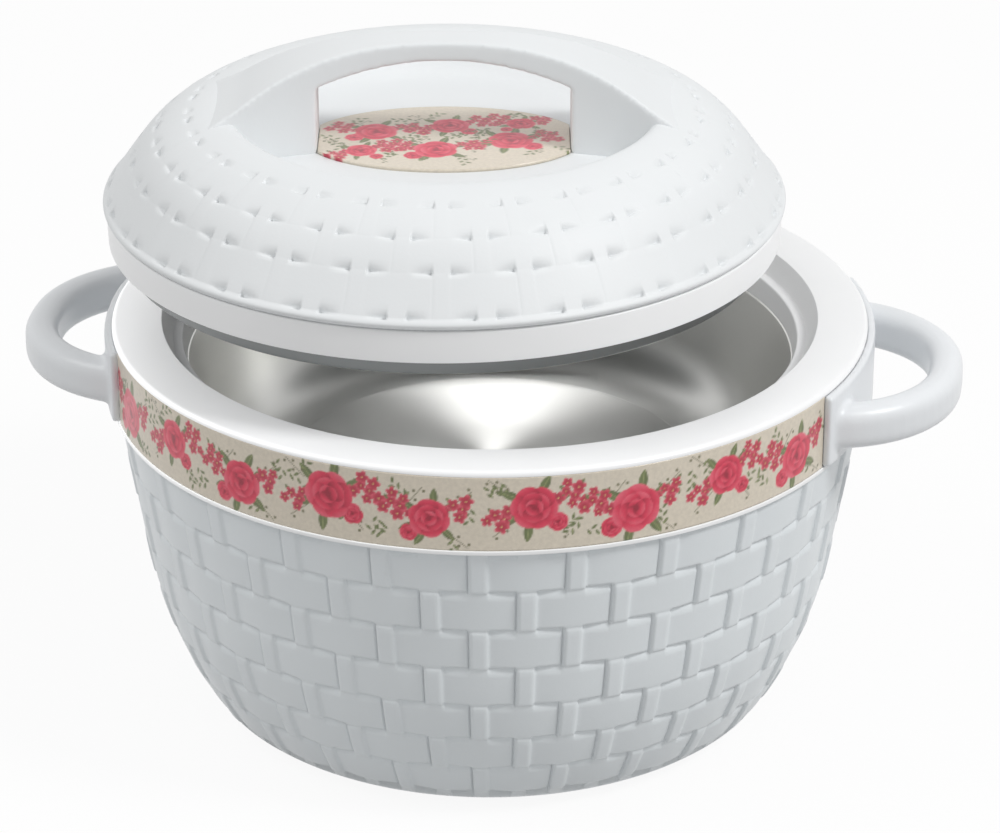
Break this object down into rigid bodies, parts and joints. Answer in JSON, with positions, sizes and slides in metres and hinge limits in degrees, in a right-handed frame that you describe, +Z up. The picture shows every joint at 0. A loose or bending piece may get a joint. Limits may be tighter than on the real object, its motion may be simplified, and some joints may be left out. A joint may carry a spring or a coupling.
{
  "type": "serving pot",
  "caption": "Insulated serving pot with a basket-weave body, steel bowl, loop handles, a printed flower band and a domed lift-off lid with a bridge grip.",
  "frame": {"origin": "centre of the base, on the surface that the pot stands on", "axes": "+Z up along the pot's axis, X through the two handles, -Y towards the front"},
  "size_m": [0.351, 0.2808, 0.259],
  "materials": {
    "body_white": "soft gloss moulded plastic",
    "collar_white": "gloss moulded plastic",
    "handle_white": "gloss moulded plastic",
    "lid_white": "soft gloss moulded plastic",
    "print_film": "printed film under clear gloss",
    "bowl_steel": "polished pressed steel",
    "screw_steel": "plated",
    "foam": "rigid foam"
  },
  "bodies": {
    "pot": {"outer_body": "body_white", "collar": "collar_white", "print_band_front": "print_film", "print_band_back": "print_film", "steel_bowl": "bowl_steel", "body_foam": "foam", "foam_plug": "body_white", "handle_left": "handle_white", "handle_right": "handle_white", "handle_screws": "screw_steel"},
    "lid": {"lid_cover": "lid_white", "lid_ring": "lid_white", "lid_disc": "print_film", "lid_foam": "foam", "lid_liner": "bowl_steel"}
  },
  "joints": [
    {"name": "lid_lift", "type": "slide", "parent": "pot", "child": "lid", "axis": [-0.4454, -0.0674, 0.8928], "range_m": [-0.0366, 0.11]}
  ]
}
